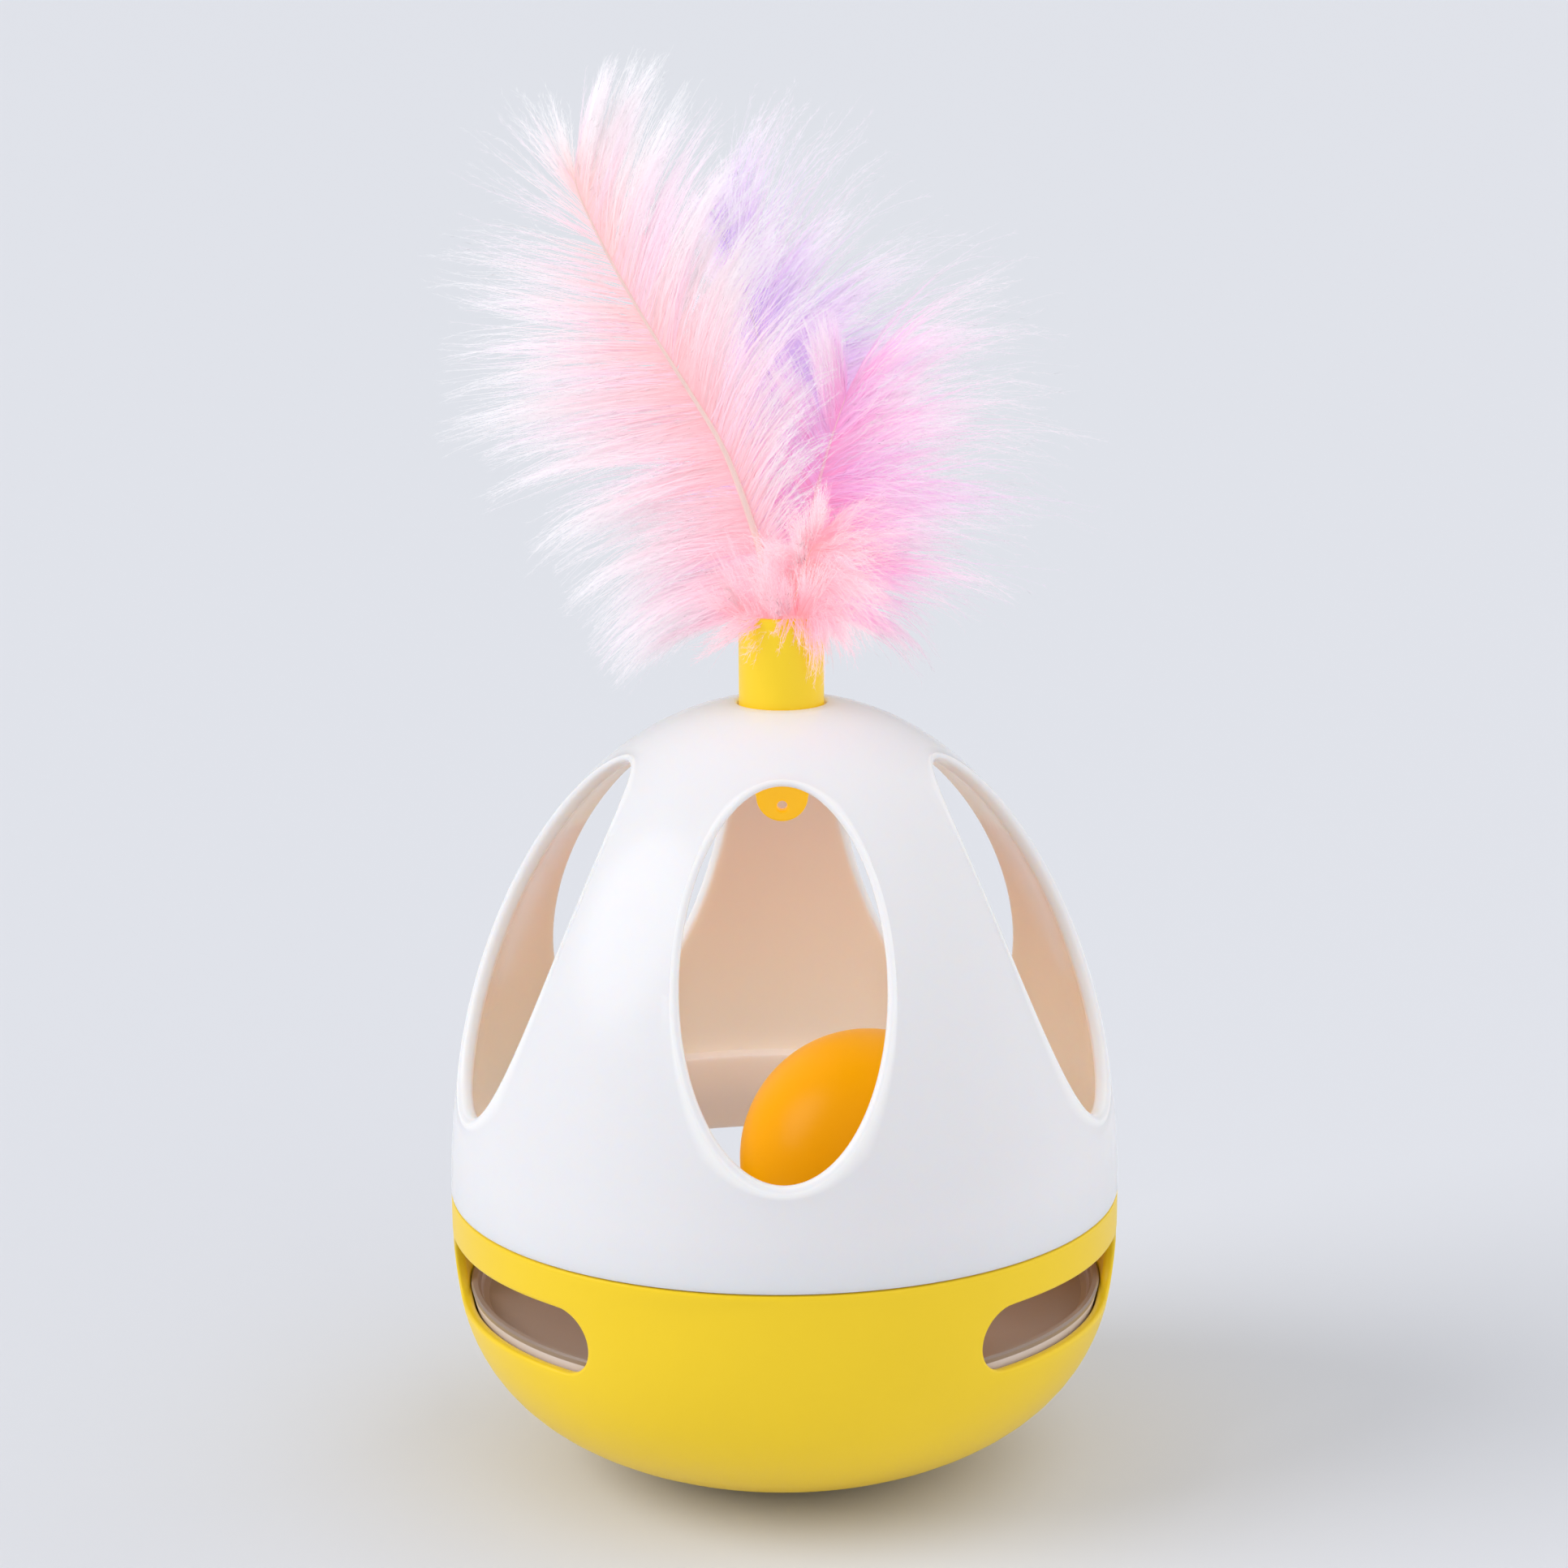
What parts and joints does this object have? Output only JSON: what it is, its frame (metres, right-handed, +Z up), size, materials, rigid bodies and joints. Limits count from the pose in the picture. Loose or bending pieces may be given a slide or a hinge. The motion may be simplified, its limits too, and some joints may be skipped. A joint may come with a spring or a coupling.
{
  "type": "tumbler cat toy",
  "caption": "Egg-shaped tumbler cat toy: weighted base, twist-off windowed dome, a loose ball inside and feathers in a tube on top.",
  "frame": {"origin": "on the ground under the centre of the base", "axes": "+Z up along the egg's axis, the front window looks along -Y"},
  "size_m": [0.104, 0.104, 0.2172],
  "materials": {
    "base_shell": "satin",
    "counterweight": "raw",
    "weight_screw": "zinc plated",
    "tray": "gloss",
    "tray_screw": "zinc plated",
    "ball": "satin",
    "dome_shell": "gloss",
    "feather_holder": "satin",
    "quill_plug": "matte",
    "feather_main": "soft feather",
    "feather_lilac": "soft feather",
    "feather_pink": "soft feather",
    "feather_coral": "soft feather"
  },
  "bodies": {
    "base": {"base_shell": "base_shell", "counterweight": "counterweight", "weight_screw": "weight_screw", "tray": "tray", "tray_screw_1": "tray_screw", "tray_screw_2": "tray_screw", "tray_screw_3": "tray_screw", "ball": "ball"},
    "dome": {"dome_shell": "dome_shell", "feather_holder": "feather_holder", "quill_plug": "quill_plug", "feather_main": "feather_main", "feather_lilac": "feather_lilac", "feather_pink": "feather_pink", "feather_coral": "feather_coral"}
  },
  "joints": [
    {"name": "dome_twist", "type": "hinge", "parent": "base", "child": "dome", "pos_m": [0, 0, 0.04421], "axis": [0, 0, 1], "range_deg": [0, 25]}
  ]
}
